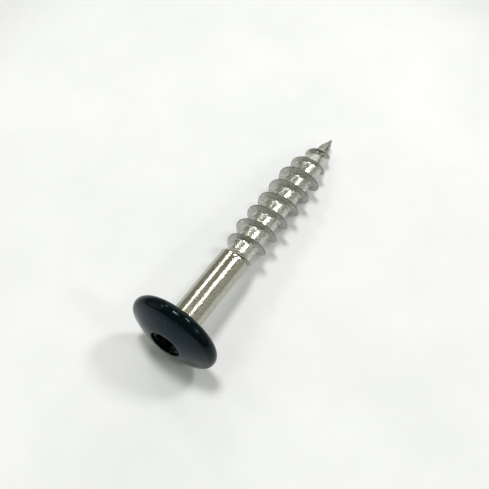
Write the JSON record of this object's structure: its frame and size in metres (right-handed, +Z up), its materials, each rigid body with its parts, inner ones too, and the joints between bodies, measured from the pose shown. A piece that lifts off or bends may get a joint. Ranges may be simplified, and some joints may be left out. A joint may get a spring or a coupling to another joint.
{
  "type": "facade screw",
  "caption": "Screw for fixing facade panels: low domed lacquered head with a six-lobe recess, plain stainless shank and a coarse wood thread with a gimlet point.",
  "frame": {"origin": "centre of the box round the screw as it lies, on the surface that it lies on", "axes": "+X runs along the surface from the head to the point, +Z is up from the surface, +Y completes the right-handed set; the screw's own axis lies in the XZ plane and drops 7 degrees from the head to the point"},
  "size_m": [0.038, 0.0122, 0.0122],
  "materials": {
    "steel": "fine-grained bright stainless steel; the head carries a glossy blue-black lacquer"
  },
  "bodies": {
    "root": {"screw": "steel"}
  },
  "joints": []
}
